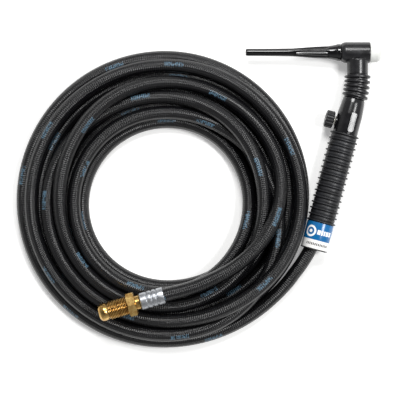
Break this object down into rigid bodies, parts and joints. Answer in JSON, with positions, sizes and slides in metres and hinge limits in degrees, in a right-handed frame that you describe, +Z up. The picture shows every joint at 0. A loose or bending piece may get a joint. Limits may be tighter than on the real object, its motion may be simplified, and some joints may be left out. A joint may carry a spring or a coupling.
{
  "type": "tig torch",
  "caption": "Air-cooled TIG welding torch with flexible neck, gas valve, long back cap, ribbed grip and a coiled power cable with brass fitting.",
  "frame": {"origin": "middle of the torch's own box in plan, on the floor that it lies on; the cable's run, coil, tail and fitting are left out of that box", "axes": "+Y along the handle towards the head, +Z up from the floor, +X to the side away from the valve knob"},
  "size_m": [0.382, 0.4178, 0.0631],
  "materials": {
    "grip_rubber": "matte",
    "band_print": "satin",
    "housing_plastic": "gloss",
    "valve_brass": "machined",
    "seat_plastic": "matte",
    "plated_steel": "bright",
    "stainless": "bright",
    "seal_rubber": "matte",
    "knob_plastic": "satin",
    "aluminium": "satin",
    "copper": "drawn",
    "neck_rubber": "satin",
    "head_plastic": "satin",
    "gasket_plastic": "matte",
    "cap_plastic": "gloss",
    "hose_rubber": "cloth marked",
    "fitting_brass": "machined"
  },
  "bodies": {
    "handle": {"handle_grip": "grip_rubber", "handle_band": "band_print", "valve_housing": "housing_plastic", "valve_body": "valve_brass", "valve_seat": "seat_plastic", "valve_gland": "plated_steel", "cable_nut": "valve_brass", "cable_nipple": "valve_brass", "handle_ferrule": "aluminium", "hose_run": "hose_rubber", "hose_coil": "hose_rubber", "hose_tail": "hose_rubber", "crimp_ferrule": "aluminium", "cable_fitting": "fitting_brass"},
    "neck": {"neck_tube": "copper", "neck_cover": "neck_rubber"},
    "head": {"head_insulator": "head_plastic", "head_core": "valve_brass", "cup_gasket": "gasket_plastic"},
    "cap_seal": {"back_cap_o_ring": "seal_rubber"},
    "back_cap": {"back_cap": "cap_plastic", "back_cap_insert": "valve_brass"},
    "stem_seal": {"stem_o_ring": "seal_rubber"},
    "knob": {"valve_knob": "knob_plastic", "valve_stem": "stainless", "knob_screw": "stainless"}
  },
  "joints": [
    {"name": "neck_bend", "type": "hinge", "parent": "handle", "child": "neck", "pos_m": [0.06066, 0.06654, 0.0172], "axis": [0, 0, 1], "range_deg": [-75, 5], "deforming": ["neck_cover", "neck_tube"]},
    {"name": "neck_tilt", "type": "hinge", "parent": "neck", "child": "head", "pos_m": [0.05862, 0.08063, 0.0172], "axis": [0.9659, 0.2588, 0], "range_deg": [-60, 60], "deforming": ["neck_cover", "neck_tube"]},
    {"name": "cap_travel", "type": "slide", "parent": "head", "child": "cap_seal", "axis": [-0.9659, -0.2588, 0], "range_m": [0, 0.00762]},
    {"name": "cap_turn", "type": "hinge", "parent": "cap_seal", "child": "back_cap", "pos_m": [-0.00745, 0.09595, 0.0172], "axis": [-0.9659, -0.2588, 0], "range_deg": [0, 2160]},
    {"name": "stem_travel", "type": "slide", "parent": "handle", "child": "stem_seal", "axis": [-1, 0, 0], "range_m": [0, 0.0012]},
    {"name": "knob_turn", "type": "hinge", "parent": "stem_seal", "child": "knob", "pos_m": [0.061, 0.0265, 0.0172], "axis": [-1, 0, 0], "range_deg": [0, 540]}
  ],
  "couplings": [
    {"joint": "cap_turn", "follows": "cap_travel", "rad_per_m": 4947.3},
    {"joint": "knob_turn", "follows": "stem_travel", "rad_per_m": 7853.9}
  ]
}
